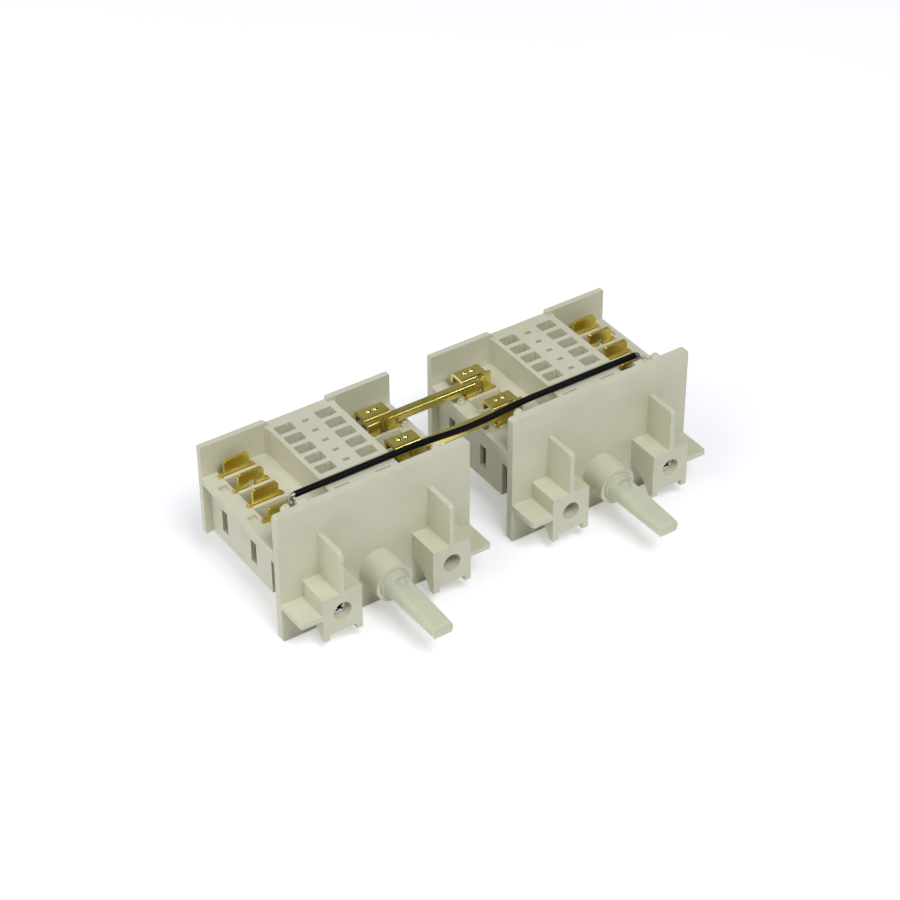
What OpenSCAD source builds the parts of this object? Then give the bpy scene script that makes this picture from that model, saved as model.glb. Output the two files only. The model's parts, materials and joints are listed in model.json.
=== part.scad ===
// Two-bank oven selector switch: two rotary cam switch modules side by side,
// joined by two folded brass busbars and one insulated jumper wire.
// Each module is drawn about its own shaft axis: +X right, +Y back, +Z up,
// with the front face of its plate at y = 0. The row frame stands on the floor.

/* [Bank] */
// Distance between the two shaft axes
module_pitch = 60; // [56:1:66]

/* [Front plate] */
// Side edge of a front plate inside the edge of its housing
plate_inset = 0.1; // [0:0.05:0.4]
// Thickness of a front plate
plate_t = 2; // [1.6:0.1:2.6]
// Top edge of the plate above the shaft axis
plate_up = 23.8; // [23:0.2:26]
// Bottom edge of the plate below the shaft axis
plate_down = 9.9; // [9.6:0.1:12]
// Corner radius of the plate
plate_r = 0.8; // [0.4:0.1:1.5]

/* [Fixing blocks] */
// Distance between the two fixing holes of a module
hole_spacing = 28; // [26:0.5:30]
// Width of a fixing block
block_w = 9.8; // [9:0.1:11]
// How far a fixing block stands out of the plate
block_depth = 8.3; // [7:0.1:10]
// Top of a fixing block above the shaft axis
block_up = 4.9; // [4:0.1:6]
// Bottom of the block's front face below the shaft axis
block_down = 5.2; // [4:0.1:6]
// Bottom of the block's side walls below the shaft axis
foot_down = 6.7; // [5.5:0.1:8]
// Thickness of the block's side walls
foot_t = 1.5; // [1:0.1:2]
// Diameter of a fixing hole
fix_hole_d = 4.4; // [4:0.1:5]
// Thickness of the stiffening fins
fin_t = 1.2; // [0.8:0.1:1.6]
// Top edge of the upright fins above the shaft axis
fin_up = 15.7; // [10:0.1:20]

/* [Collar and shaft] */
// Outer diameter of the shaft collar
collar_d = 9.2; // [8.8:0.1:11]
// Length of the collar in front of the plate
collar_len = 7; // [4:0.1:9]
// Diameter of the bore in the collar
collar_bore_d = 7.4; // [7:0.1:8]
// Radial running clearance of the shaft and the cam drum
run_gap = 0.06; // [0.02:0.01:0.09]
// Reach of the shaft in front of the plate
shaft_reach = 25.6; // [20:0.2:32]
// Diameter of the knob end of the shaft
shank_d = 6; // [5.6:0.1:6.4]
// Distance between the two flats at the tip
flat_t = 2.8; // [2.4:0.1:4]
// Length of the shaft's round shoulder in front of the collar
shoulder_len = 2; // [1:0.1:3]
// Rest angle of the left shaft in degrees
left_angle = 0; // [0:30:330]
// Rest angle of the right shaft in degrees
right_angle = 0; // [0:30:330]

/* [Housing] */
// Width of the housing
body_w = 48.8; // [47:0.2:52]
// Back face of the housing behind the plate's front face
body_back = 33.7; // [33:0.1:36]
// Deck surface above the shaft axis
deck_z = 14.2; // [13.6:0.1:15.5]
// Thickness of the deck
deck_t = 1.9; // [1.4:0.1:2.4]
// Top of the back wall above the shaft axis
wall_z = 22.2; // [21.6:0.1:23]
// Thickness of the back wall
wall_t = 1.5; // [1.2:0.1:2]
// Flank face inside the edge of the deck
flank_in = 1.9; // [1:0.1:2.4]
// Thickness of the flanks
flank_t = 1.2; // [1:0.1:2]
// Bottom of the flanks below the shaft axis
flank_down = 1.4; // [0.5:0.1:3]

/* [Contact block] */
// Top of the contact block above the shaft axis
block_z = 21.2; // [20.8:0.1:21.8]
// Width of the contact block
cblock_w = 17.4; // [17:0.1:18]
// Middle of the contact block to the right of the shaft axis
cblock_x = 0.8; // [0.4:0.1:1]
// Rows of chambers
chamber_rows = 5; // [3:1:5]
// Middle of the front chamber row
chamber_front_y = 12.4; // [12.2:0.05:12.8]
// Middle of the rearmost chamber row in front of the back wall
chamber_wall_gap = 3; // [2.8:0.05:3.4]
// Width of a chamber
chamber_w = 4.3; // [3.8:0.1:4.5]
// Depth of a chamber from front to back
chamber_l = 2.9; // [2.4:0.05:3.1]
// Distance between the two chamber columns
column_gap = 10.35; // [9.6:0.05:10.4]
// Front edge of the raised top of the contact block
ledge_y = 9.5; // [9.2:0.1:10]
// How far the ledge lies below the top of the contact block
ledge_drop = 0.6; // [0.4:0.1:1.6]

/* [Terminals] */
// Front face of the front terminal
tab_front_y = 10.8; // [10.6:0.1:11.2]
// Front face of the rearmost terminal in front of the back wall
tab_wall_gap = 2.8; // [2.4:0.1:3.2]
// Middle of a terminal blade inside the edge of the housing
tab_inset = 7.4; // [7.1:0.1:8]
// Width of a terminal blade
tab_w = 6.3; // [6.1:0.1:6.5]
// Thickness of the brass sheet
tab_t = 0.8; // [0.7:0.05:0.9]
// Height of an open blade above the deck
tab_h = 4.3; // [3.8:0.1:5]
// Width across the shoulders of a terminal
shoulder_w = 9; // [8.6:0.1:9.2]

/* [Busbars and wire] */
// Height of the busbar's folded edge above the deck
bar_h = 4.5; // [4:0.1:4.8]
// Height of the busbar's front flange
bar_flange = 1.9; // [1.6:0.1:2.2]
// Depth of the busbar's top flange
bar_depth = 2; // [1.8:0.1:2.6]
// Diameter of the jumper wire over its insulation
wire_d = 1.8; // [1.4:0.1:2]
// Diameter of the tinned core of the jumper wire
core_d = 1; // [0.7:0.05:1.2]

/* [Hidden] */
$fn = 48;
e = 0.01;

// Fixing blocks and assembly screws
screw_d = 3;
screw_gap = 0.15;
screw_head_d = 4;
screw_head_t = 2.1;
screw_sunk = 1.7;
seat_depth = screw_sunk + screw_head_t;
screw_hold = 6.5;
screw_chamfer_w = 0.35;
screw_chamfer_h = 0.4;
cross_half = 1.3;
cross_w = 0.6;
cross_deep = 1.1;
screw_len = block_depth - seat_depth + plate_t + screw_hold;
block_fin_z = 0.6;
fin_corner_r = 1;
side_fin_r = 0.6;
side_fin_root = 0.5;
boss_lap = 0.3;
// Hollow scooped out of the underside of a block's walls
scoop_r = 8;
scoop_y = 0.6;
scoop_down = 9.6;

// Row frame: the middle of the footprint, on the floor
frame_y = -(body_back - shaft_reach) / 2;
frame_z = plate_down;

// Housing
plate_w = body_w - 2 * plate_inset;
body_front = plate_t;
wall_front = body_back - wall_t;
deck_low = deck_z - deck_t;
flank_x = body_w / 2 - flank_in;
well_r = 9;
well_w = 2 * well_r + 2.8;
well_low = -plate_down;
cblock_l = cblock_x - cblock_w / 2;
cblock_r = cblock_x + cblock_w / 2;
ledge_z = block_z - ledge_drop;
chamber_low = deck_z - 4.5;
chamber_back_y = wall_front - chamber_wall_gap;
chamber_pitch = (chamber_back_y - chamber_front_y) / (chamber_rows - 1);
chamber_r = 0.4;
column_mid = cblock_x - 0.3;
locator_w = 1.5;
locator_l = 0.9;
locator_deep = 5;
web_w = 0.5;
web_l = 1.1;
// Pair of slots in the ledge in front of the chambers
slot_y = 5.1;
slot_w = 3.8;
slot_l = 0.9;
slot_deep = 1.5;
// Thin rib on the back of a chamber
chamber_rib_in = 1.2;
chamber_rib_w = 0.35;
chamber_rib_t = 0.25;
chamber_rib_drop = 0.3;
// Deck pockets, each [across, front to back, deep, from the blade to its middle]
outer_pocket = [2.15, 1.9, 0.9, 3];
inner_pocket = [1.9, 1.2, deck_t - 0.3, 1.4];
wall_gap_half = cblock_w / 2 - 0.6;
cover_t = 1.4;
flank_slot_w = 2.3;
flank_slot_low = 1.8;
flank_slot_top = 7.7;
flank_slot_y = 4.2;
flank_slot_back = 2.1;
boss_r = 3.2;
boss_x = hole_spacing / 2 + boss_r;
boss_back = body_front + screw_hold + 2;
post_left_x = -body_w / 2 + 5.9;
post_right_x = body_w / 2 - 4.8;
post_y = 6.2;
post_d = 2.5;
post_h = 6.8;
post_tip = 0.7;
stake_d = 1.8;
stake_h = 0.7;
stake_tip_d = 1.1;
stake_tip_h = 1.2;
rest_w = 2.4;
rest_up = 6.8;

// Terminals
tab_rows = 4;
tab_hole_d = 2.1;
tab_hole_up = 1.05;
tab_back_y = wall_front - tab_wall_gap;
tab_pitch = (tab_back_y - tab_front_y) / (tab_rows - 1);
tab_x = body_w / 2 - tab_inset;
hole_x = body_w / 2 - 2.1;
stake_x = tab_x + shoulder_w / 2 + 0.9;
shoulder_h = 1;
lip_h = 0.5;
lip_half = 4.2;
pocket_w = 8.2;
pocket_deep = 3;
core_low = deck_z - 4.4;
slot_gap = 0.05;
rib_t = 1.1;
leg_w = 3;
foot_z = 8.4;
foot_half = 1.2;
foot_x = well_w / 2 + 1.6;
rivet_x = foot_x + 1.6;
rivet_d = 2.2;
rivet_h = 0.5;
spring_t = 0.3;
spring_w = 2.4;
spring_z = foot_z - tab_t - 2 * rivet_h - spring_t;
// Room round a spring's nose in its window in the cam well
window_gap = 0.3;
window_low = 2.6;
window_high = 0.8;
inner_blade_h = bar_h - tab_t - 0.8;
low_tab_h = tab_h - 1.1;

// Busbar clips
clip_w = tab_w + 0.5;
clip_shift = 1;
clip_rise = 0.6;
clip_back = bar_depth + 3.3;
fold_r = tab_t + 0.15;
dome_r = 0.8;
dome_sunk = 0.35;
dome_step = 1.8;
lug_up = 1.1;
lug_in = 3.1;
lug_w = 1.8;
lug_drop = 0.3;
finger_w = 0.6;
finger_t = 0.3;
finger_root = 0.1;
clip_lip = 2.6;
clip_step_y = 0.6;
end_w = 2;
end_h = 2.85;

// Jumper wire
lug_x = tab_x - 0.8;
barrel_r = 1;
barrel_h = 5.9;
lug_half = 1.2;
lug_tab_up = 1.6;
bend_r = 0.9;
bare_len = 0.2;
wire_y = ledge_y - wire_d / 2 - 0.7;
wire_z = ledge_z + wire_d / 2;
sleeve_reach = module_pitch / 2 + lug_x - bend_r - bare_len;
wire_sag = 0.95;
sag_reach = module_pitch / 2 - cblock_r - 3;
sag_steps = 16;
bend_step = 15;
wire_sides = 12;

// Cam drum
drum_core_r = 5;
cam_r = 8;
tip_w = shank_d - 0.9;
// The flats run from the tip to a step at the neck, wider by this on each side
flat_step = 1.1;
flat_run = 1;
flat_root = 4;
// Square key of the shaft in the drum's socket
key_len = 8;
key_gap = 0.05;
key_end_gap = 0.6;
shoulder_r = 0.5;
cam_t = 3;
cam_notch_r = 2.2;
cam_notch_out = 0.4;
nose_gap = 0.15;
star_y = 5.2;
star_t = 2.4;
star_r = 7.6;
star_notch_r = 0.9;
star_notches = 12;
detent_roof = 8.9;
detent_slot = 12.6;
detent_w = 2;
leaf_t = 0.3;
bump_out = 0.4;
bump_neck = 1;
journal_r = 2.4;
journal_len = 1.1;
socket_w = 5;
drum_front = body_front + 0.3;
drum_back = wall_front - 0.3;

function tab_y(i) = tab_back_y - (i - 1) * tab_pitch;

module at_module(side) {
  translate([side * module_pitch / 2, frame_y, frame_z]) children();
}

// A box given by its low and high corners
module span(low, high) {
  translate(low) cube(high - low);
}

// A cylinder along +Y that starts at y
module rod_y(r, y, len) {
  translate([0, y, 0]) rotate([-90, 0, 0]) cylinder(r = r, h = len);
}

// A profile drawn in X and Z, made solid from y to y + len
module extrude_y(y, len) {
  translate([0, y + len, 0]) rotate([90, 0, 0]) linear_extrude(height = len) children();
}

module round_square(low, high, r) {
  w = high.x - low.x;
  h = high.y - low.y;
  translate([low.x + r, low.y]) square([w - 2 * r, h]);
  translate([low.x, low.y + r]) square([w, h - 2 * r]);
  for (cx = [low.x + r, high.x - r], cy = [low.y + r, high.y - r])
    translate([cx, cy]) circle(r = r, $fn = 24);
}

// Front plate with its collar, fixing blocks and fins

module fixing_block(bx, outer) {
  difference() {
    union() {
      difference() {
        span([bx - block_w / 2, -block_depth, -foot_down], [bx + block_w / 2, e, block_up]);
        span([bx - block_w / 2 + foot_t, -block_depth + foot_t, -foot_down - 1],
             [bx + block_w / 2 - foot_t, 1, block_up - foot_t]);
        span([bx - block_w / 2 + foot_t, -block_depth - 1, -foot_down - 1],
             [bx + block_w / 2 - foot_t, 1, -block_down]);
        translate([bx - block_w, scoop_y, -scoop_down]) rotate([0, 90, 0])
          cylinder(r = scoop_r, h = 2 * block_w, $fn = 96);
      }
      translate([bx, 0, 0]) rod_y(block_w / 2 - foot_t + boss_lap, -block_depth, block_depth + e);
      span([bx - fin_t / 2, -block_depth, block_up - e], [bx + fin_t / 2, e, fin_up]);
      side_fin(bx, outer);
    }
    translate([bx, 0, 0]) rod_y(fix_hole_d / 2, -block_depth - 1, seat_depth + 1);
    translate([bx, 0, 0]) rod_y(screw_d / 2 + screw_gap, -block_depth, block_depth + plate_t + 1);
    upright_fin_corner(bx);
  }
}

// Round off the outer corner of an upright fin
module upright_fin_corner(bx) {
  r = fin_corner_r;
  translate([bx, -block_depth + r, fin_up - r]) rotate([0, 90, 0]) difference() {
    translate([-r - 1, -r - 1, -fin_t]) cube([r + 1, r + 1, 2 * fin_t]);
    cylinder(r = r, h = 4 * fin_t, center = true);
  }
}

// Flat fin from a block out to the edge of the plate
module side_fin(bx, outer) {
  edge = plate_w / 2;
  r = side_fin_r;
  root = bx + outer * (block_w / 2 - side_fin_root);
  low_x = min(root, outer * edge);
  high_x = max(root, outer * edge);
  translate([0, 0, block_fin_z - fin_t]) linear_extrude(height = fin_t) {
    difference() {
      translate([low_x, -block_depth]) square([high_x - low_x, block_depth + e]);
      translate([outer * edge - outer * r / 2, -block_depth + r / 2])
        difference() {
          square(r + 2 * e, center = true);
          translate([-outer * r / 2, r / 2]) circle(r = r, $fn = 32);
        }
    }
  }
}

module front_plate() {
  color("#e4e2cf") {
    difference() {
      union() {
        extrude_y(0, plate_t)
          round_square([-plate_w / 2, -plate_down], [plate_w / 2, plate_up], plate_r);
        rod_y(collar_d / 2, -collar_len, collar_len + e);
        for (side = [-1, 1]) fixing_block(side * hole_spacing / 2, side);
      }
      rod_y(collar_bore_d / 2, -collar_len - 1, collar_len + plate_t + 2);
      for (side = [-1, 1]) translate([side * hole_spacing / 2, 0, 0])
        rod_y(screw_d / 2 + screw_gap, -1, plate_t + 2);
    }
  }
}

// Housing: decks, contact block, back wall, flanks and the cam well

module deck_cuts(outer) {
  for (side = [-1, 1]) {
    for (i = [1:tab_rows]) {
      cell_back = i == 1 ? wall_front : tab_y(i - 1) - rib_t;
      pocket_x = side * (tab_x - 0.5);
      span([pocket_x - pocket_w / 2, tab_y(i) + tab_t - e, deck_z - pocket_deep],
           [pocket_x + pocket_w / 2, cell_back, deck_z + 1]);
      span([side * tab_x - tab_w / 2 - slot_gap, tab_y(i), deck_z - pocket_deep],
           [side * tab_x + tab_w / 2 + slot_gap, tab_y(i) + tab_t, deck_z + 1]);
      span([side * tab_x - leg_w / 2 - slot_gap, tab_y(i), core_low - 1],
           [side * tab_x + leg_w / 2 + slot_gap, tab_y(i) + tab_t, deck_z]);
    }
  }
  // square pockets on the outer deck, narrow ones behind the stakes on the inner deck
  for (i = [2, 4]) {
    deck_pocket(outer * hole_x, tab_y(i), outer_pocket);
    deck_pocket(-outer * (stake_x + 0.3), tab_y(i), inner_pocket);
  }
}

module deck_pocket(x, blade_y, size) {
  y = blade_y + size[3];
  span([x - size[0] / 2, y - size[1] / 2, deck_z - size[2]],
       [x + size[0] / 2, y + size[1] / 2, deck_z + 1]);
}

// Raised lip on the deck in front of each blade, but not where the wire's lug lies
module deck_lips(outer) {
  for (side = [-1, 1], i = [1:tab_rows])
    if (side != outer || i < tab_rows)
      span([side * (tab_x - 0.5) - lip_half, tab_y(i) - rib_t, deck_z - e],
           [side * (tab_x - 0.5) + lip_half, tab_y(i) - 0.15, deck_z + lip_h]);
}

module chamber_cuts() {
  for (row = [0:chamber_rows - 1], col = [-1, 1]) {
    cx = column_mid + col * column_gap / 2;
    cy = chamber_back_y - row * chamber_pitch;
    translate([cx, cy, chamber_low]) linear_extrude(height = block_z + 1 - chamber_low)
      round_square([-chamber_w / 2, -chamber_l / 2], [chamber_w / 2, chamber_l / 2], chamber_r);
  }
  for (row = [0:chamber_rows - 1]) {
    cy = chamber_back_y - row * chamber_pitch;
    span([column_mid - locator_w / 2, cy - locator_l / 2, block_z - locator_deep],
         [column_mid + locator_w / 2, cy + locator_l / 2, block_z + 1]);
  }
  for (col = [-1, 1]) {
    cx = column_mid + col * column_gap / 2;
    span([cx - slot_w / 2, slot_y, ledge_z - slot_deep],
         [cx + slot_w / 2, slot_y + slot_l, ledge_z + 1]);
  }
}

// Thin rib on the back of each chamber in the left column
module chamber_ribs() {
  for (row = [0:chamber_rows - 1]) {
    rib_x = column_mid - column_gap / 2 + chamber_w / 2 - chamber_rib_in;
    cy = chamber_back_y - row * chamber_pitch;
    span([rib_x, cy + chamber_l / 2 - chamber_rib_t, chamber_low - e],
         [rib_x + chamber_rib_w, cy + chamber_l / 2 + e, block_z - chamber_rib_drop]);
  }
}

// Upright web in the corner between the contact block and the back wall
module corner_webs() {
  for (side = [-1, 1]) translate([cblock_x + side * cblock_w / 2, wall_front, deck_low])
    linear_extrude(height = block_z - deck_low)
      polygon([[-side * e, e], [side * web_w, e], [-side * e, -web_l]]);
}

module flank(side) {
  low_x = side > 0 ? flank_x - flank_t : -flank_x;
  high_x = low_x + flank_t;
  difference() {
    span([low_x, body_front, -flank_down], [high_x, wall_front + e, deck_low + e]);
    for (y = [tab_y(2) + flank_slot_back, tab_y(4) + flank_slot_back])
      span([low_x - 1, y, flank_slot_low], [high_x + 1, y + flank_slot_w, flank_slot_top]);
    span([low_x - 1, flank_slot_y, -flank_down - 1],
         [high_x + 1, flank_slot_y + flank_slot_w, flank_slot_top]);
  }
}

module cam_well() {
  difference() {
    span([-well_w / 2, body_front, well_low], [well_w / 2, wall_front + e, deck_low + e]);
    rod_y(well_r, body_front - 1, wall_front - body_front + 1);
    // windows for the noses of the contact springs
    for (side = [-1, 1], i = [1:4])
      translate([0, tab_y(i) + tab_t / 2, spring_z])
        span([min(0, side * well_w), -spring_w / 2 - window_gap, -window_low],
             [max(0, side * well_w), spring_w / 2 + window_gap, window_high]);
  }
}

module back_wall() {
  extrude_y(wall_front, wall_t) polygon([
    [-body_w / 2, -flank_down], [body_w / 2, -flank_down], [body_w / 2, wall_z],
    [wall_gap_half, wall_z], [wall_gap_half, block_z], [-wall_gap_half + 1.2, block_z],
    [-wall_gap_half, wall_z], [-body_w / 2, wall_z]]);
  span([-well_w / 2, wall_front, well_low], [well_w / 2, body_back, 0]);
}

module screw_bosses() {
  for (side = [-1, 1])
    span([min(side * boss_x, side * well_w / 2 - side), body_front, -boss_r],
         [max(side * boss_x, side * well_w / 2 - side), boss_back, boss_r]);
}

module wire_posts() {
  for (x = [post_left_x, post_right_x])
    translate([x, post_y - 0.2, deck_z - e]) {
      cylinder(d = post_d, h = post_h - post_tip, $fn = 32);
      translate([0, 0, post_h - post_tip - e])
        cylinder(d1 = post_d, d2 = post_d - 1, h = post_tip, $fn = 32);
    }
}

// Upright that the end of the jumper wire lies against
module wire_rest(outer) {
  x = outer * (lug_x - 1.5);
  translate([x - rest_w / 2, wire_y - wire_d / 2 - 0.1, 0]) rotate([90, 0, 90])
    linear_extrude(height = rest_w) polygon([
      [0, deck_z - e], [0, deck_z + rest_up - 0.5], [-0.5, deck_z + rest_up],
      [-1.1, deck_z + rest_up], [-1.8, deck_z + rest_up - 0.7], [-1.8, deck_z - e]]);
}

// Melted stakes beside the inner terminals
module stakes(outer) {
  for (i = [2, 4]) translate([-outer * stake_x, tab_y(i) - 0.2, deck_z - e]) {
    cylinder(d = stake_d, h = stake_h, $fn = 24);
    cylinder(d = stake_tip_d, h = stake_tip_h, $fn = 24);
  }
}

module housing(outer) {
  color("#e2e0cd") difference() {
    union() {
      span([-body_w / 2, body_front, deck_low], [body_w / 2, wall_front + e, deck_z]);
      span([-flank_x + e, body_front, core_low], [flank_x - e, wall_front + e, deck_low + e]);
      span([cblock_l, body_front, deck_low], [cblock_r, body_back, ledge_z]);
      span([cblock_l, ledge_y, deck_low], [cblock_r, body_back, block_z]);
      back_wall();
      corner_webs();
      for (side = [-1, 1]) flank(side);
      cam_well();
      screw_bosses();
      wire_posts();
      wire_rest(outer);
      stakes(outer);
      deck_lips(outer);
    }
    deck_cuts(outer);
    difference() {
      chamber_cuts();
      chamber_ribs();
    }
    rod_y(journal_r + run_gap, wall_front - 1, 2);
    span([-detent_slot / 2, star_y - detent_w / 2 - 0.05, 6],
         [detent_slot / 2, star_y + detent_w / 2 + 0.05, detent_roof]);
    for (side = [-1, 1]) translate([side * hole_spacing / 2, 0, 0])
      rod_y(screw_d / 2, body_front - 1, screw_hold + 1.5);
  }
}

module base_cover(side) {
  low_x = side > 0 ? well_w / 2 + 0.1 : -flank_x + flank_t + 0.1;
  high_x = side > 0 ? flank_x - flank_t - 0.1 : -well_w / 2 - 0.1;
  color("#dad8c4") difference() {
    span([low_x, body_front + 0.1, -flank_down], [high_x, wall_front - 0.1, -flank_down + cover_t]);
    span([min(0, side * (boss_x + 0.1)), body_front - 1, -flank_down - 1],
         [max(0, side * (boss_x + 0.1)), boss_back + 0.1, 2]);
  }
}

// Shaft: hub in the collar, round shoulder and a shank with two tapered flats

module shaft() {
  hub_r = collar_bore_d / 2 - run_gap;
  tip = -shaft_reach;
  neck = -collar_len - shoulder_len;
  color("#ccd0bd") {
    rod_y(hub_r, -collar_len, collar_len + drum_front);
    translate([0, -collar_len, 0]) rotate([90, 0, 0])
      rotate_extrude($fn = 96) translate([hub_r - shoulder_r, 0]) circle(r = shoulder_r, $fn = 32);
    rod_y(hub_r - shoulder_r, -collar_len - shoulder_r, shoulder_r);
    translate([0, neck, 0]) rotate([-90, 0, 0])
      cylinder(r1 = shank_d / 2 - 0.1, r2 = hub_r - shoulder_r + 0.1, h = shoulder_len - shoulder_r + e);
    intersection() {
      translate([0, tip, 0]) rotate([-90, 0, 0])
        cylinder(r1 = tip_w / 2, r2 = shank_d / 2, h = shaft_reach - collar_len);
      rotate([90, 0, 90]) linear_extrude(height = 2 * shank_d, center = true)
        polygon([[tip, -flat_t / 2], [neck + flat_run, -flat_t / 2 - flat_step], [0, -flat_root],
                 [0, flat_root], [neck + flat_run, flat_t / 2 + flat_step], [tip, flat_t / 2]]);
    }
    extrude_y(drum_front - e, key_len) square(socket_w, center = true);
  }
}

// Cam drum: four cams and a star wheel on one core, with a rear journal

module cam_profile(i) {
  difference() {
    circle(r = cam_r, $fn = 96);
    for (k = [0:2]) rotate(45 + 30 * i + 120 * k)
      translate([cam_r + cam_notch_out, 0]) circle(r = cam_notch_r, $fn = 48);
  }
}

module cam_drum() {
  color("#c9c8bd") difference() {
    union() {
      rod_y(drum_core_r, drum_front, drum_back - drum_front);
      for (i = [1:4])
        extrude_y(tab_y(i) + tab_t / 2 - cam_t / 2, min(cam_t, drum_back - tab_y(i))) cam_profile(i);
      extrude_y(star_y - star_t / 2, star_t) difference() {
        circle(r = star_r, $fn = 96);
        for (k = [0:star_notches - 1]) rotate(k * 360 / star_notches)
          translate([star_r + 0.3, 0]) circle(r = star_notch_r, $fn = 32);
      }
      rod_y(journal_r, drum_back - e, journal_len);
    }
    extrude_y(drum_front - 1, 1 + key_len + key_end_gap) square(socket_w + 2 * key_gap, center = true);
  }
}

// Detent spring: a leaf in the roof of the well whose bump sits in the star wheel

module detent_spring() {
  half = detent_slot / 2 - 0.05;
  color("#b9bcc0") extrude_y(star_y - detent_w / 2, detent_w) intersection() {
    union() {
      translate([-half, detent_roof - leaf_t]) square([2 * half, leaf_t]);
      translate([0, star_r + bump_out]) circle(r = star_notch_r - 0.1, $fn = 32);
      translate([-bump_neck / 2, star_r + bump_out]) square([bump_neck, detent_roof - star_r - bump_out]);
    }
    translate([-half, 0]) square([2 * half, detent_roof]);
  }
}

// Terminals and contact springs

module blade_profile(h) {
  low = deck_z - pocket_deep;
  round_square([-tab_w / 2, deck_z - 1], [tab_w / 2, deck_z + h], 0.9);
  translate([-tab_w / 2, low]) square([tab_w, pocket_deep]);
  round_square([-shoulder_w / 2, deck_z], [shoulder_w / 2, deck_z + shoulder_h], 0.45);
  translate([-leg_w / 2, foot_z - tab_t]) square([leg_w, low - foot_z + tab_t + 1]);
}

module terminal(side, i, h, holed) {
  color("#b79a3c") translate([side * tab_x, 0, 0]) {
    difference() {
      extrude_y(tab_y(i), tab_t) blade_profile(h);
      if (holed) translate([0, tab_y(i) - 1, deck_z + tab_hole_up]) rotate([-90, 0, 0])
        cylinder(d = tab_hole_d, h = 3, $fn = 32);
    }
    // contact foot towards the cam well
    span([side > 0 ? foot_x - tab_x : -leg_w / 2, tab_y(i) + tab_t / 2 - foot_half, foot_z - tab_t],
         [side > 0 ? leg_w / 2 : tab_x - foot_x, tab_y(i) + tab_t / 2 + foot_half, foot_z]);
    translate([side * (rivet_x - tab_x), tab_y(i) + tab_t / 2, foot_z - tab_t - rivet_h])
      cylinder(d = rivet_d, h = rivet_h + e, $fn = 24);
  }
}

module contact_spring(side, i) {
  yc = tab_y(i) + tab_t / 2;
  root_x = flank_x - flank_t - 0.1;
  nose_r = 0.5;
  nose_z = spring_z + spring_t / 2;
  nose_x = sqrt(pow(cam_r + nose_r + nose_gap, 2) - nose_z * nose_z);
  color("#c48a4e") translate([0, yc - spring_w / 2, 0]) mirror([side > 0 ? 0 : 1, 0, 0]) {
    cube_low = [nose_x, 0, spring_z];
    span(cube_low, [root_x, spring_w, spring_z + spring_t]);
    extrude_y(0, spring_w) translate([nose_x, nose_z]) circle(r = nose_r, $fn = 32);
    span([root_x - 0.6, 0, -flank_down + cover_t], [root_x, spring_w, spring_z + e]);
    translate([rivet_x, spring_w / 2, spring_z + spring_t - e])
      cylinder(d = rivet_d, h = rivet_h, $fn = 24);
  }
}

// Assembly screw at the bottom of the outer fixing hole

module assembly_screw() {
  head_y = -block_depth + screw_sunk;
  color("#cfd2d6") difference() {
    union() {
      rod_y(screw_head_d / 2, head_y + screw_chamfer_h, screw_head_t - screw_chamfer_h);
      rod_y(screw_head_d / 2 - screw_chamfer_w, head_y, screw_chamfer_h + e);
      rod_y(screw_d / 2, head_y + screw_head_t - e, screw_len + e);
    }
    for (turn = [45, 135]) rotate([0, turn, 0])
      span([-cross_half, head_y - 1, -cross_w / 2], [cross_half, head_y + cross_deep, cross_w / 2]);
  }
}

// Tinned lug that takes an end of the jumper wire

module wire_lug(side) {
  front = tab_y(4) - tab_t;
  color("#b9b7a8") translate([side * lug_x, 0, 0]) {
    difference() {
      union() {
        translate([0, wire_y, deck_z]) cylinder(r = barrel_r, h = barrel_h);
        span([-lug_half, wire_y - barrel_r, deck_z], [lug_half, tab_y(4), deck_z + tab_t]);
        span([-lug_half, front, deck_z], [lug_half, tab_y(4), deck_z + shoulder_h + lug_tab_up]);
      }
      translate([0, wire_y, deck_z + tab_t]) cylinder(r = core_d / 2, h = barrel_h);
    }
  }
}

// Busbars with a folded clip at each end

// Quarter of a bent sheet, turned so that its outside faces the angle given
module fold(angle) {
  rotate(angle) intersection() {
    difference() {
      circle(r = fold_r, $fn = 32);
      circle(r = fold_r - tab_t, $fn = 32);
    }
    square(fold_r + 1);
  }
}

module bar_profile() {
  top = deck_z + bar_h;
  translate([-tab_t + fold_r, top - fold_r]) fold(90);
  translate([-tab_t, top - bar_flange]) square([tab_t, bar_flange - fold_r]);
  translate([-tab_t + fold_r, top - tab_t]) square([bar_depth - fold_r, tab_t]);
}

// The clip's sheet: up from the bar, over the blade and down behind it
module clip_profile() {
  top = deck_z + bar_h + clip_rise;
  step_y = clip_step_y;
  bar_profile();
  translate([step_y, top - clip_rise - tab_t]) square([tab_t, clip_rise + tab_t - fold_r]);
  translate([step_y + fold_r, top - fold_r]) fold(90);
  translate([step_y + fold_r, top - tab_t]) square([clip_back - step_y - 2 * fold_r, tab_t]);
  translate([clip_back - fold_r, top - fold_r]) fold(0);
  translate([clip_back - tab_t, top - clip_lip]) square([tab_t, clip_lip - fold_r]);
}

// Two small domes pressed up in the top of a clip, and the lug on its front
module clip_marks() {
  top = deck_z + bar_h + clip_rise;
  for (k = [0, 1]) translate([2.4 + k * dome_step, 3.6 - tab_t / 2, top - dome_sunk])
    sphere(r = dome_r, $fn = 24);
  // lug: a tongue below the bar's flange with two fingers that stand in front of the fold
  lug_low = deck_z + bar_h - bar_flange - lug_drop;
  span([lug_in, -tab_t, lug_low], [lug_in + lug_w, 0, lug_low + lug_drop + 0.5]);
  for (x = [lug_in, lug_in + lug_w - finger_w])
    span([x, -tab_t - finger_t, lug_low], [x + finger_w, -tab_t + finger_root, deck_z + bar_h + lug_up]);
}

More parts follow.
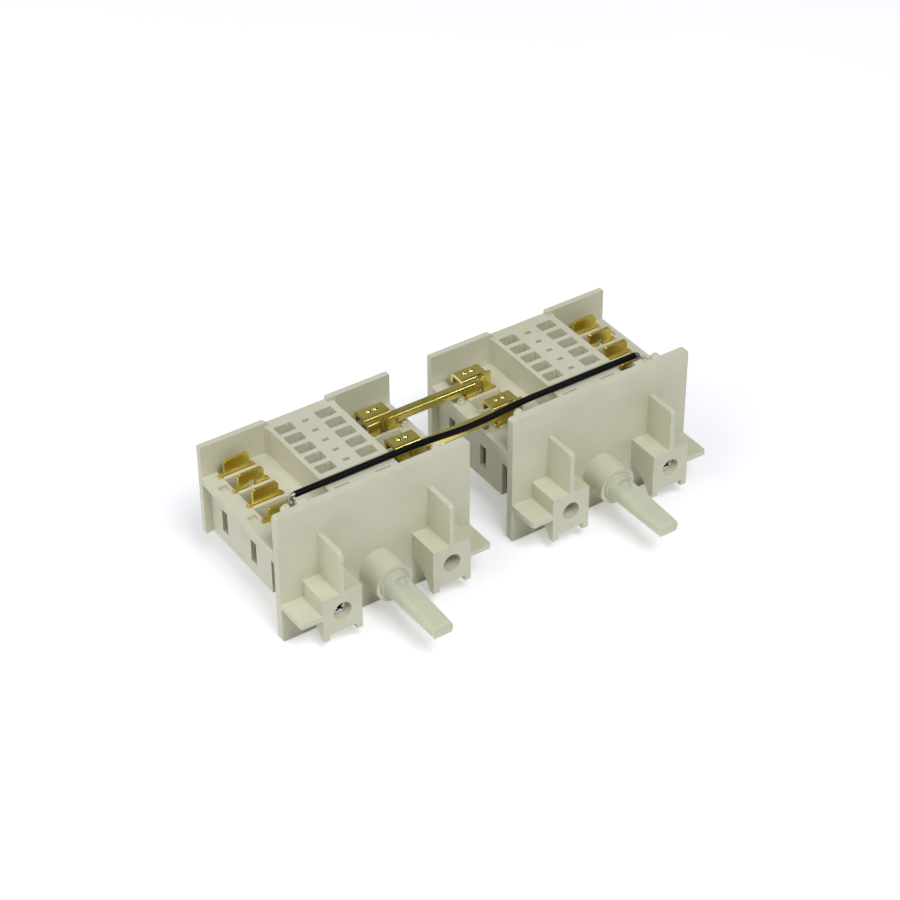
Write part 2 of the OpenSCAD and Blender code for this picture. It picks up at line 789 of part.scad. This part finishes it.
// Gap in the bar's flange on both sides of the lug, where the blade shows
module blade_window() {
  low = deck_z + bar_h - bar_flange - 1;
  high = deck_z + bar_h - tab_t - 0.1;
  blade_in = clip_w / 2 + clip_shift - tab_w / 2 - 0.2;
  span([blade_in, -tab_t - 1, low], [lug_in - 0.1, 0.2, high]);
  span([lug_in + lug_w + 0.1, -tab_t - 1, low], [blade_in + tab_w + 0.4, 0.2, high]);
}

module busbar(i) {
  left_clip = -module_pitch / 2 + tab_x - clip_shift - clip_w / 2;
  right_clip = module_pitch / 2 - tab_x - clip_shift - clip_w / 2;
  bar_end = right_clip + clip_w;
  end_low = deck_z + bar_h - 1.2;
  color("#c0a040") translate([0, frame_y + tab_y(i), frame_z]) {
    difference() {
      union() {
        translate([left_clip, 0, 0]) rotate([90, 0, 90])
          linear_extrude(height = bar_end - left_clip) bar_profile();
        for (clip_x = [left_clip, right_clip]) translate([clip_x, 0, 0])
          rotate([90, 0, 90]) linear_extrude(height = clip_w) clip_profile();
      }
      for (clip_x = [left_clip, right_clip]) translate([clip_x, 0, 0]) blade_window();
    }
    for (clip_x = [left_clip, right_clip]) translate([clip_x, 0, 0]) clip_marks();
    // square end that stands up past the fold
    span([bar_end - end_w, -tab_t, end_low], [bar_end, 0, end_low + end_h]);
  }
}

// Jumper wire: it rests on both ledges, sags a little between them,
// and its bare ends bend down into the lugs

function sag_at(x) = -wire_sag * (1 + cos(180 * x / sag_reach)) / 2;

// Stations of the route, each [x, z, slope in degrees]
sag_stations = [for (k = [0:sag_steps])
  let (x = sag_reach * (2 * k / sag_steps - 1))
  [x, wire_z + sag_at(x), 0]];

// Bend from level down to upright, for the right end
bend_stations = [for (t = [0:bend_step:90])
  [sleeve_reach + bare_len + bend_r * sin(t), wire_z - bend_r + bend_r * cos(t), -t]];

// Ring of points about the middle line at a station
function wire_ring(station, r) = [for (k = [0:wire_sides - 1])
  let (a = 360 * k / wire_sides)
  [station[0] - r * sin(a) * sin(station[2]), frame_y + wire_y + r * cos(a),
   frame_z + station[1] + r * sin(a) * cos(station[2])]];

function side_faces(first, second, flip) = [for (k = [0:wire_sides - 1])
  let (n = (k + 1) % wire_sides)
  flip ? [first + k, first + n, second + n, second + k]
       : [first + k, second + k, second + n, first + n]];

module jumper_sleeve() {
  route = concat([[-sleeve_reach, wire_z, 0]], sag_stations, [[sleeve_reach, wire_z, 0]]);
  last = (len(route) - 1) * wire_sides;
  inner = last + wire_sides;
  color("#16171a") polyhedron(
    points = [for (r = [wire_d / 2, core_d / 2], station = route) each wire_ring(station, r)],
    faces = concat(
      [for (first = [0:wire_sides:last - 1]) each side_faces(first, first + wire_sides, false)],
      [for (first = [inner:wire_sides:inner + last - 1])
        each side_faces(first, first + wire_sides, true)],
      side_faces(0, inner, true), side_faces(last, inner + last, false)));
}

module jumper_core() {
  right_end = concat(bend_stations, [[sleeve_reach + bare_len + bend_r, deck_z + tab_t + 0.1, -90]]);
  left_end = [for (k = [len(right_end) - 1:-1:0]) [-right_end[k][0], right_end[k][1], -right_end[k][2]]];
  route = concat(left_end, sag_stations, right_end);
  last = (len(route) - 1) * wire_sides;
  color("#c8c9c6") polyhedron(
    points = [for (station = route) each wire_ring(station, core_d / 2)],
    faces = concat(
      [for (first = [0:wire_sides:last - 1]) each side_faces(first, first + wire_sides, false)],
      [[for (k = [0:wire_sides - 1]) k]], [[for (k = [wire_sides - 1:-1:0]) last + k]]));
}

at_module(-1) front_plate();  // left_front_plate
at_module(-1) housing(-1);  // left_housing
at_module(-1) base_cover(-1);  // left_outer_base_cover
at_module(-1) base_cover(1);  // left_inner_base_cover
at_module(-1) rotate([0, left_angle, 0]) shaft();  // left_shaft
at_module(-1) rotate([0, left_angle, 0]) cam_drum();  // left_cam_drum
at_module(-1) detent_spring();  // left_detent_spring
at_module(-1) terminal(-1, 1, tab_h, false);  // left_outer_terminal_1
at_module(-1) terminal(-1, 2, tab_h, true);  // left_outer_terminal_2
at_module(-1) terminal(-1, 3, tab_h, false);  // left_outer_terminal_3
at_module(-1) terminal(-1, 4, low_tab_h, false);  // left_outer_terminal_4
at_module(-1) terminal(1, 2, inner_blade_h, true);  // left_inner_terminal_2
at_module(-1) terminal(1, 4, inner_blade_h, true);  // left_inner_terminal_4
at_module(-1) contact_spring(-1, 1);  // left_outer_contact_spring_1
at_module(-1) contact_spring(-1, 2);  // left_outer_contact_spring_2
at_module(-1) contact_spring(-1, 3);  // left_outer_contact_spring_3
at_module(-1) contact_spring(-1, 4);  // left_outer_contact_spring_4
at_module(-1) contact_spring(1, 2);  // left_inner_contact_spring_2
at_module(-1) contact_spring(1, 4);  // left_inner_contact_spring_4
at_module(-1) translate([-hole_spacing / 2, 0, 0]) assembly_screw();  // left_assembly_screw
at_module(-1) wire_lug(-1);  // left_wire_lug
at_module(1) front_plate();  // right_front_plate
at_module(1) housing(1);  // right_housing
at_module(1) base_cover(1);  // right_outer_base_cover
at_module(1) base_cover(-1);  // right_inner_base_cover
at_module(1) rotate([0, right_angle, 0]) shaft();  // right_shaft
at_module(1) rotate([0, right_angle, 0]) cam_drum();  // right_cam_drum
at_module(1) detent_spring();  // right_detent_spring
at_module(1) terminal(1, 1, tab_h, false);  // right_outer_terminal_1
at_module(1) terminal(1, 2, tab_h, true);  // right_outer_terminal_2
at_module(1) terminal(1, 3, tab_h, false);  // right_outer_terminal_3
at_module(1) terminal(1, 4, low_tab_h, false);  // right_outer_terminal_4
at_module(1) terminal(-1, 2, inner_blade_h, true);  // right_inner_terminal_2
at_module(1) terminal(-1, 4, inner_blade_h, true);  // right_inner_terminal_4
at_module(1) contact_spring(1, 1);  // right_outer_contact_spring_1
at_module(1) contact_spring(1, 2);  // right_outer_contact_spring_2
at_module(1) contact_spring(1, 3);  // right_outer_contact_spring_3
at_module(1) contact_spring(1, 4);  // right_outer_contact_spring_4
at_module(1) contact_spring(-1, 2);  // right_inner_contact_spring_2
at_module(1) contact_spring(-1, 4);  // right_inner_contact_spring_4
at_module(1) translate([hole_spacing / 2, 0, 0]) assembly_screw();  // right_assembly_screw
at_module(1) wire_lug(1);  // right_wire_lug
busbar(2);  // rear_busbar
busbar(4);  // front_busbar
jumper_sleeve();
jumper_core();
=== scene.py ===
import bpy
import json
import math
from mathutils import Matrix, Vector


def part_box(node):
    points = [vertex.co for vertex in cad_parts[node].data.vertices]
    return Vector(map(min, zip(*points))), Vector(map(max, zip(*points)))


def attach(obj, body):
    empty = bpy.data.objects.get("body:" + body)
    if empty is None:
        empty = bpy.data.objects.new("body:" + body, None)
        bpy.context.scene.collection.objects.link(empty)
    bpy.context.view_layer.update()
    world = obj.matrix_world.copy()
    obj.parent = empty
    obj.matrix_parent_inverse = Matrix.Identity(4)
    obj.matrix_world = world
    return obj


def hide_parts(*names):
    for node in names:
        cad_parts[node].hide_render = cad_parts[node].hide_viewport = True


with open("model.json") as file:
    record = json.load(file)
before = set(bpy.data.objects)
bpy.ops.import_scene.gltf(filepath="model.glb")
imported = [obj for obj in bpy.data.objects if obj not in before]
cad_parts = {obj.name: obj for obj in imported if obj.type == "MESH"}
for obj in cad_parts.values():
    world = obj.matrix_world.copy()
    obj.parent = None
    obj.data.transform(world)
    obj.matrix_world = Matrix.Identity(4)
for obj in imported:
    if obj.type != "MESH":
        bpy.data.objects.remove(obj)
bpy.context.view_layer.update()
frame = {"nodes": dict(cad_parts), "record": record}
nodes = frame["nodes"]

MM = 0.001
# The row frame, from the shaft axes' midpoint at the plates' front faces
FRAME_Y = -4.05
FRAME_Z = 9.9
PITCH = 60.0


def at(side, x, y, z):
    """A point given about a module's shaft axis, in mm, as a point of the row frame in metres."""
    return Vector(((x + side * PITCH / 2) * MM, (y + FRAME_Y) * MM, (z + FRAME_Z) * MM))


def show(name, data):
    """An object made of the data and linked to the scene."""
    obj = bpy.data.objects.new(name, data)
    bpy.context.scene.collection.objects.link(obj)
    return obj


# Camera: worked out from the plates' corners, the fixing holes and the deck edges

AZIMUTH = -33.793
ELEVATION = 37.388
ROLL = -0.3276
FOCAL_PX = 2466.94
PHOTO_PX = 900
FILM = 36
# Place of the camera about the row's middle on the shaft axes, in mm
CAMERA_AT = (-244.904, -349.730, 344.999)


def make_camera():
    a, e, r = math.radians(AZIMUTH), math.radians(ELEVATION), math.radians(ROLL)
    right = Vector((math.cos(a), math.sin(a), 0))
    back = Vector((math.sin(a) * math.cos(e), -math.cos(a) * math.cos(e), math.sin(e)))
    up = back.cross(right)
    across = math.cos(r) * right + math.sin(r) * up
    upward = -math.sin(r) * right + math.cos(r) * up
    data = bpy.data.cameras.new("camera")
    data.sensor_fit = "HORIZONTAL"
    data.sensor_width = FILM
    data.lens = FILM * FOCAL_PX / PHOTO_PX
    data.clip_end = 20
    cam = show("camera", data)
    x, y, z = CAMERA_AT
    m = Matrix((across, upward, back)).transposed().to_4x4()
    m.translation = Vector((x, y + FRAME_Y, z + FRAME_Z)) * MM
    cam.matrix_world = m
    bpy.context.scene.camera = cam


make_camera()
bpy.context.scene.view_settings.view_transform = "Standard"


# Materials

class Tree:
    """A short way to write a node tree."""

    def __init__(self, name):
        self.mat = bpy.data.materials.new(name)
        self.mat.use_nodes = True
        self.nodes = self.mat.node_tree.nodes
        self.links = self.mat.node_tree.links
        self.bsdf = self.nodes["Principled BSDF"]
        coords = self.nodes.new("ShaderNodeTexCoord")
        self.coords = coords.outputs["Object"]

    def put(self, name, value):
        self.bsdf.inputs[name].default_value = value

    def use(self, output, name):
        self.links.new(output, self.bsdf.inputs[name])

    def noise(self, scale, detail=3, rough=0.5, stretch=None):
        n = self.nodes.new("ShaderNodeTexNoise")
        n.inputs["Scale"].default_value = scale
        n.inputs["Detail"].default_value = detail
        n.inputs["Roughness"].default_value = rough
        source = self.coords
        if stretch:
            m = self.nodes.new("ShaderNodeMapping")
            m.inputs["Scale"].default_value = stretch
            self.links.new(self.coords, m.inputs["Vector"])
            source = m.outputs["Vector"]
        self.links.new(source, n.inputs["Vector"])
        return n.outputs["Fac"]

    def ramp(self, fac, stops):
        n = self.nodes.new("ShaderNodeValToRGB")
        ramp = n.color_ramp
        while len(ramp.elements) < len(stops):
            ramp.elements.new(0.5)
        for element, (place, value) in zip(ramp.elements, stops):
            element.position = place
            element.color = (*value, 1)
        self.links.new(fac, n.inputs["Fac"])
        return n.outputs["Color"]

    def scale_to(self, fac, low, high, start=0.3, end=0.7):
        """The factor's range from start to end, stretched to run from low to high."""
        n = self.nodes.new("ShaderNodeMapRange")
        n.inputs["From Min"].default_value = start
        n.inputs["From Max"].default_value = end
        n.inputs["To Min"].default_value = low
        n.inputs["To Max"].default_value = high
        self.links.new(fac, n.inputs["Value"])
        return n.outputs["Result"]

    def mix(self, fac, one, colour):
        """From the output one towards a plain colour, by the factor's output."""
        n = self.nodes.new("ShaderNodeMix")
        n.data_type = "RGBA"
        first, second = [i for i in n.inputs if i.type == "RGBA"]
        self.links.new(fac, n.inputs["Factor"])
        self.links.new(one, first)
        second.default_value = (*colour, 1)
        return [o for o in n.outputs if o.type == "RGBA"][0]

    def bump(self, fac, height, strength=1.0, under=None):
        """A bump of the height given in metres, on top of the bump node under it."""
        n = self.nodes.new("ShaderNodeBump")
        n.inputs["Distance"].default_value = height
        n.inputs["Strength"].default_value = strength
        self.links.new(fac, n.inputs["Height"])
        if under:
            self.links.new(under.outputs["Normal"], n.inputs["Normal"])
        return n

    def largest(self, one, two):
        n = self.nodes.new("ShaderNodeMath")
        n.operation = "MAXIMUM"
        self.links.new(one, n.inputs[0])
        self.links.new(two, n.inputs[1])
        return n.outputs["Value"]


def srgb(r, g, b):
    def one(v):
        v = v / 255
        return v / 12.92 if v <= 0.04045 else ((v + 0.055) / 1.055) ** 2.4
    return (one(r), one(g), one(b))


def times(colour, factor):
    return tuple(min(1, c * factor) for c in colour)


def moulded(name, base, dark, rough=0.42, grain=0.00003):
    """Moulded plastic: slow colour drift, a fine skin and faint flow marks."""
    t = Tree(name)
    drift = t.noise(scale=55, detail=4, rough=0.55)
    colour = t.ramp(drift, [(0.3, dark), (0.52, base), (0.78, times(base, 1.03))])
    speck = t.scale_to(t.noise(scale=900, detail=2, rough=0.6), 0.0, 0.18, start=0.62, end=0.78)
    t.use(t.mix(speck, colour, times(base, 0.8)), "Base Color")
    t.use(t.scale_to(t.noise(scale=240), rough - 0.06, rough + 0.08), "Roughness")
    flow = t.bump(t.noise(scale=70, detail=2, stretch=(1.0, 0.5, 0.35)), height=0.00012, strength=0.5)
    skin = t.bump(t.noise(scale=2600, rough=0.6), height=grain, under=flow)
    t.use(skin.outputs["Normal"], "Normal")
    t.put("Specular IOR Level", 0.45)
    t.put("Subsurface Weight", 0.06)
    t.put("Subsurface Radius", (0.0012, 0.0010, 0.0006))
    t.put("Subsurface Scale", 1.0)
    return t.mat


def nylon(name, base):
    """Translucent natural nylon."""
    t = Tree(name)
    drift = t.noise(scale=90)
    t.use(t.ramp(drift, [(0.3, times(base, 0.92)), (0.7, base)]), "Base Color")
    t.use(t.scale_to(t.noise(scale=300, detail=2), 0.3, 0.42), "Roughness")
    skin = t.bump(t.noise(scale=1800, detail=2), height=0.00002)
    t.use(skin.outputs["Normal"], "Normal")
    t.put("Subsurface Weight", 0.55)
    t.put("Subsurface Radius", (0.0030, 0.0032, 0.0024))
    t.put("Subsurface Scale", 1.0)
    t.put("Specular IOR Level", 0.4)
    return t.mat


def sheet_metal(name, base, dark, rough=0.28, along=(1, 30, 30)):
    """Rolled and blanked sheet: fine rolling lines and tarnish in patches."""
    t = Tree(name)
    t.put("Metallic", 1.0)
    tarnish = t.noise(scale=120, detail=5, rough=0.6)
    lines = t.noise(scale=380, detail=2, stretch=along)
    colour = t.ramp(tarnish, [(0.32, dark), (0.5, base), (0.75, times(base, 1.1))])
    t.use(t.mix(t.scale_to(lines, 0.0, 0.25, start=0.4), colour, dark), "Base Color")
    t.use(t.scale_to(tarnish, rough + 0.14, rough - 0.04, start=0.35, end=0.65), "Roughness")
    dents = t.bump(t.noise(scale=160, detail=2), height=0.00006, strength=0.5)
    fine = t.bump(lines, height=0.00001, strength=0.6, under=dents)
    t.use(fine.outputs["Normal"], "Normal")
    return t.mat


def insulation(name):
    """Black extruded insulation with a soft gloss and light handling marks."""
    t = Tree(name)
    marks = t.noise(scale=420, detail=4, rough=0.6, stretch=(0.25, 1, 1))
    t.use(t.ramp(marks, [(0.35, (0.002, 0.002, 0.0025)), (0.7, (0.005, 0.005, 0.006))]), "Base Color")
    t.use(t.scale_to(marks, 0.38, 0.52), "Roughness")
    skin = t.bump(t.noise(scale=1500, detail=2, stretch=(0.4, 1, 1)), height=0.00003)
    t.use(skin.outputs["Normal"], "Normal")
    t.put("Specular IOR Level", 0.13)
    return t.mat


CREAM = srgb(215, 213, 187)
CREAM_LOW = srgb(209, 207, 179)
materials = {
    "plate_plastic": moulded("plate_plastic_look", CREAM, CREAM_LOW),
    "housing_plastic": moulded("housing_plastic_look", CREAM, CREAM_LOW),
    "cover_plastic": moulded("cover_plastic_look", srgb(207, 205, 179), srgb(200, 198, 170)),
    "shaft_nylon": nylon("shaft_nylon_look", srgb(210, 214, 186)),
    "cam_plastic": moulded("cam_plastic_look", srgb(212, 210, 200), srgb(204, 202, 192), rough=0.36),
    "spring_steel": sheet_metal("spring_steel_look", (0.55, 0.55, 0.57), (0.35, 0.35, 0.37), rough=0.22),
    "terminal_brass": sheet_metal("terminal_brass_look", srgb(228, 206, 104), srgb(198, 174, 74)),
    "contact_bronze": sheet_metal("contact_bronze_look", srgb(205, 150, 96), srgb(150, 104, 62)),
    "screw_steel": sheet_metal("screw_steel_look", (0.80, 0.81, 0.82), (0.55, 0.56, 0.58), rough=0.12),
    # The near-black metal of the screws' cross recess is painted shade, the same steel darkened
    "screw_recess": sheet_metal("screw_recess_painted_shade_look", (0.13, 0.13, 0.14), (0.05, 0.05, 0.055), rough=0.3),
    "tinned_brass": sheet_metal("tinned_brass_look", (0.62, 0.60, 0.50), (0.42, 0.40, 0.32), rough=0.38),
    "busbar_brass": sheet_metal("busbar_brass_look", srgb(228, 214, 122), srgb(196, 178, 84),
                                rough=0.2, along=(30, 1, 30)),
    "wire_insulation": insulation("wire_insulation_look"),
    "tinned_copper": sheet_metal("tinned_copper_look", (0.42, 0.41, 0.38), (0.26, 0.25, 0.23), rough=0.34),
}
slot_of = {s["node"]: s["material_slot"] for s in frame["record"]["subparts"]}

# Width of the rounded edges on the moulded and blanked pieces, in mm
EDGE_WIDTH = {"plate_plastic": 0.30, "housing_plastic": 0.18, "cover_plastic": 0.15, "shaft_nylon": 0.12,
              "terminal_brass": 0.10, "busbar_brass": 0.12, "tinned_brass": 0.10}
# Faces within FLAT_ANGLE are joined first; edges sharper than EDGE_ANGLE are rounded
FLAT_ANGLE = 0.5
EDGE_ANGLE = 38


def soften(obj, width_mm):
    flat = obj.modifiers.new("flats", "DECIMATE")
    flat.decimate_type = "DISSOLVE"
    flat.angle_limit = math.radians(FLAT_ANGLE)
    flat.delimit = set()
    edge = obj.modifiers.new("edges", "BEVEL")
    edge.width = width_mm * MM
    edge.segments = 2
    edge.limit_method = "ANGLE"
    edge.angle_limit = math.radians(EDGE_ANGLE)
    edge.use_clamp_overlap = False
    edge.harden_normals = False


for node, obj in nodes.items():
    slot = slot_of[node]
    if obj.material_slots:
        for s in obj.material_slots:
            s.material = materials[slot]
    else:
        obj.data.materials.append(materials[slot])
    if slot in EDGE_WIDTH:
        soften(obj, EDGE_WIDTH[slot])


# Jumper wire: a round tube on the CAD wire's route, a little slimmer

WIRE_D = 1.45
CORE_D = 1.0
# The slimmer tube's middle lies this far below the CAD core's, close to the ledges that carry it
WIRE_DROP = 0.12
WIRE_SAG = 0.95
SAG_REACH = 17.5
ROUTE_STEPS = 96


def wire_drop_at(x):
    """How far the wire's middle hangs below its ends, in mm, at x mm from the row's middle."""
    if abs(x) >= SAG_REACH:
        return 0.0
    return WIRE_SAG * (1 + math.cos(math.pi * x / SAG_REACH)) / 2


def make_wire():
    low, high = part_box("jumper_sleeve")
    reach = high[0]
    y = (low[1] + high[1]) / 2
    core_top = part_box("jumper_core")[1][2]
    middle = core_top - CORE_D / 2 * MM - WIRE_DROP * MM
    data = bpy.data.curves.new("jumper_sleeve_round", "CURVE")
    data.dimensions = "3D"
    data.bevel_depth = WIRE_D / 2 * MM
    data.bevel_resolution = 6
    data.use_fill_caps = True
    line = data.splines.new("POLY")
    line.points.add(ROUTE_STEPS)
    for k, point in enumerate(line.points):
        x = -reach + 2 * reach * k / ROUTE_STEPS
        point.co = (x, y, middle - wire_drop_at(x / MM) * MM, 1)
    data.materials.append(materials["wire_insulation"])
    wire = show("jumper_sleeve_round", data)
    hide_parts("jumper_sleeve")
    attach(wire, "switch_body")


make_wire()


def ring_angles(count):
    return [2 * math.pi * k / count for k in range(count)]


# Assembly screws: the CAD screw's place and shank, with a rounded head and a cross recess, the recess
# painted near-black as painted shade

HEAD_R = 2.15
HEAD_SUNK = -0.25
HEAD_T = 2.35
SHANK_R = 1.5
RIM_DROP = 0.35
RIM_POWER = 6
RECESS_DEEP = 0.95
RECESS_REACH = 1.45
RECESS_HALF = 0.3
# The recess's walls start this far inside and end this far outside its half width
WALL_IN = 0.08
WALL_OUT = 0.06
# Share of the reach from which the recess's floor slopes up to the head's surface
SLOPE_FROM = 0.45
# Faces in the recess deeper than this take the near-black metal, which is painted shade in the recess
RECESS_SHADE_FROM = 0.3
HEAD_RINGS = 30
HEAD_SPOKES = 128


def step(value, low, high):
    t = min(1.0, max(0.0, (value - low) / (high - low)))
    return t * t * (3 - 2 * t)


def head_depth(r, a):
    """Depth of the head's surface below its crown, in mm, at r mm from the axis."""
    rim = RIM_DROP * (r / HEAD_R) ** RIM_POWER
    x, z = r * math.cos(a + math.pi / 4), r * math.sin(a + math.pi / 4)
    along, across = max(abs(x), abs(z)), min(abs(x), abs(z))
    wing = 1 - step(across, RECESS_HALF - WALL_IN, RECESS_HALF + WALL_OUT)
    slope = 1 - step(along, RECESS_REACH * SLOPE_FROM, RECESS_REACH)
    return rim + RECESS_DEEP * wing * slope


def make_screw(node):
    low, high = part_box(node)
    cx, cz = (low[0] + high[0]) / 2, (low[2] + high[2]) / 2
    crown = low[1] + HEAD_SUNK * MM
    seat = crown + HEAD_T * MM
    spokes = ring_angles(HEAD_SPOKES)

    def point(r, a, y):
        return (cx + r * MM * math.cos(a), y, cz + r * MM * math.sin(a))

    points = [(cx, crown + head_depth(0, 0) * MM, cz)]
    for i in range(1, HEAD_RINGS + 1):
        r = HEAD_R * i / HEAD_RINGS
        points += [point(r, a, crown + head_depth(r, a) * MM) for a in spokes]
    for r, y in ((HEAD_R, seat), (SHANK_R, seat), (SHANK_R, high[1])):
        points += [point(r, a, y) for a in spokes]
    n = HEAD_SPOKES
    faces = [(0, 1 + k, 1 + (k + 1) % n) for k in range(n)]
    for i in range(HEAD_RINGS + 2):
        a, b = 1 + i * n, 1 + (i + 1) * n
        faces += [(a + k, b + k, b + (k + 1) % n, a + (k + 1) % n) for k in range(n)]
    last = 1 + (HEAD_RINGS + 2) * n
    faces.append(tuple(last + k for k in range(n)))

    mesh = bpy.data.meshes.new(node + "_recessed")
    mesh.from_pydata(points, [], faces)
    mesh.materials.append(materials["screw_steel"])
    mesh.materials.append(materials["screw_recess"])
    # The recess's deeper faces take the near-black metal: painted shade
    for polygon in mesh.polygons:
        depth = sum(points[v][1] - crown for v in polygon.vertices) / len(polygon.vertices)
        inside = max(abs(polygon.center.x - cx), abs(polygon.center.z - cz)) < RECESS_REACH * MM
        polygon.material_index = 1 if inside and RECESS_SHADE_FROM * MM < depth < HEAD_T * MM / 2 else 0
    screw = show(node + "_recessed", mesh)
    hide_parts(node)
    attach(screw, "switch_body")


make_screw("left_assembly_screw")
make_screw("right_assembly_screw")


# Soft run-out of the shaft's two flats into its round neck

NECK_Y = -8.9
NECK_R = 2.9
RUNOUT_Y = -14.0
RUNOUT_R = 2.1
RUNOUT_RINGS = 16
RUNOUT_SPOKES = 96


def make_runout(side, name, body):
    n = RUNOUT_SPOKES
    points, faces = [], []
    for i in range(RUNOUT_RINGS + 1):
        t = i / RUNOUT_RINGS
        r = RUNOUT_R + (NECK_R - RUNOUT_R) * t * t
        y = RUNOUT_Y + (NECK_Y - RUNOUT_Y) * t
        points += [at(side, r * math.cos(a), y, r * math.sin(a)) for a in ring_angles(n)]
    for i in range(RUNOUT_RINGS):
        a, b = i * n, (i + 1) * n
        faces += [(a + k, a + (k + 1) % n, b + (k + 1) % n, b + k) for k in range(n)]
    faces.append(tuple(range(n - 1, -1, -1)))
    last = RUNOUT_RINGS * n
    faces.append(tuple(last + k for k in range(n)))
    mesh = bpy.data.meshes.new(name)
    mesh.from_pydata(points, [], faces)
    mesh.materials.append(materials["shaft_nylon"])
    for polygon in mesh.polygons:
        polygon.use_smooth = len(polygon.vertices) == 4
    obj = show(name, mesh)
    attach(obj, body)


make_runout(-1, "left_shaft_runout", "left_rotor")
make_runout(1, "right_shaft_runout", "right_rotor")


# Floor and light

# The studio's soft bright patch: the direction of its middle, brightness away from it and in its middle,
# and the cosine at which it starts
BACK_WAY = (0.44, 0.66, 0.61)
SKY = 0.04
SKY_BACK = 0.34
PATCH_FROM = 0.6
# The floor glows only to the camera and in mirrors and glass, so that it shows white and keeps the shadow
FLOOR_WHITE = 0.34
FLOOR_GREY = (0.86, 0.86, 0.86)
FLOOR_PALE = (0.9, 0.9, 0.9)
# Just under the part's feet
FLOOR_Z = -0.0001
FLOOR_HALF = 3.0
# Lamps: name, place in metres, diameter, watts and colour; all look at the middle of the part
LAMP_TARGET = (0, 0, 0.02)
COOL = (0.955, 0.978, 1.06)
PLAIN = (1.0, 1.0, 1.06)
LAMPS = (("front", (-0.1, -1.0, 1.5), 0.9, 19.2, COOL),
         ("left", (-1.3, 0.1, 1.0), 1.6, 12.0, PLAIN),
         ("back", (-0.6, 1.2, 1.2), 0.8, 2.3, PLAIN),
         ("edge", (0.9, -1.3, 1.4), 0.4, 2.8, PLAIN))


def make_world():
    """A dim studio with a soft bright patch at the back, which level brass reflects to the camera."""
    world = bpy.data.worlds.new("studio")
    world.use_nodes = True
    nodes_of = world.node_tree.nodes
    link = world.node_tree.links.new
    way = nodes_of.new("ShaderNodeTexCoord")
    dot = nodes_of.new("ShaderNodeVectorMath")
    dot.operation = "DOT_PRODUCT"
    dot.inputs[1].default_value = BACK_WAY
    link(way.outputs["Generated"], dot.inputs[0])
    ramp = nodes_of.new("ShaderNodeValToRGB")
    for element, (place, value) in zip(ramp.color_ramp.elements, ((PATCH_FROM, SKY), (1.0, SKY_BACK))):
        element.position = place
        element.color = (value, value, value, 1)
    link(dot.outputs["Value"], ramp.inputs["Fac"])
    link(ramp.outputs["Color"], nodes_of["Background"].inputs["Color"])
    bpy.context.scene.world = world


def make_floor():
    t = Tree("floor_look")
    t.use(t.ramp(t.noise(scale=6), [(0.3, FLOOR_GREY), (0.7, FLOOR_PALE)]), "Base Color")
    t.use(t.scale_to(t.noise(scale=40, detail=2), 0.75, 0.85), "Roughness")
    t.put("Specular IOR Level", 0.1)
    t.put("Emission Color", (1, 1, 1, 1))
    rays = t.nodes.new("ShaderNodeLightPath")
    seen = t.largest(t.largest(rays.outputs["Is Camera Ray"], rays.outputs["Is Glossy Ray"]),
                     rays.outputs["Is Transmission Ray"])
    t.use(t.scale_to(seen, 0.0, FLOOR_WHITE, start=0.0, end=1.0), "Emission Strength")
    mesh = bpy.data.meshes.new("floor")
    s = FLOOR_HALF
    mesh.from_pydata([(x, y, FLOOR_Z) for x, y in ((-s, -s), (s, -s), (s, s), (-s, s))], [], [(0, 1, 2, 3)])
    mesh.materials.append(t.mat)
    show("floor", mesh)


def area_light(name, place, size, watts, colour):
    data = bpy.data.lights.new(name, "AREA")
    data.shape = "DISK"
    data.size = size
    data.energy = watts
    data.color = colour
    lamp = show(name, data)
    lamp.location = place
    lamp.rotation_euler = (Vector(LAMP_TARGET) - Vector(place)).to_track_quat("-Z", "Y").to_euler()


make_world()
make_floor()
for lamp in LAMPS:
    area_light(*lamp)
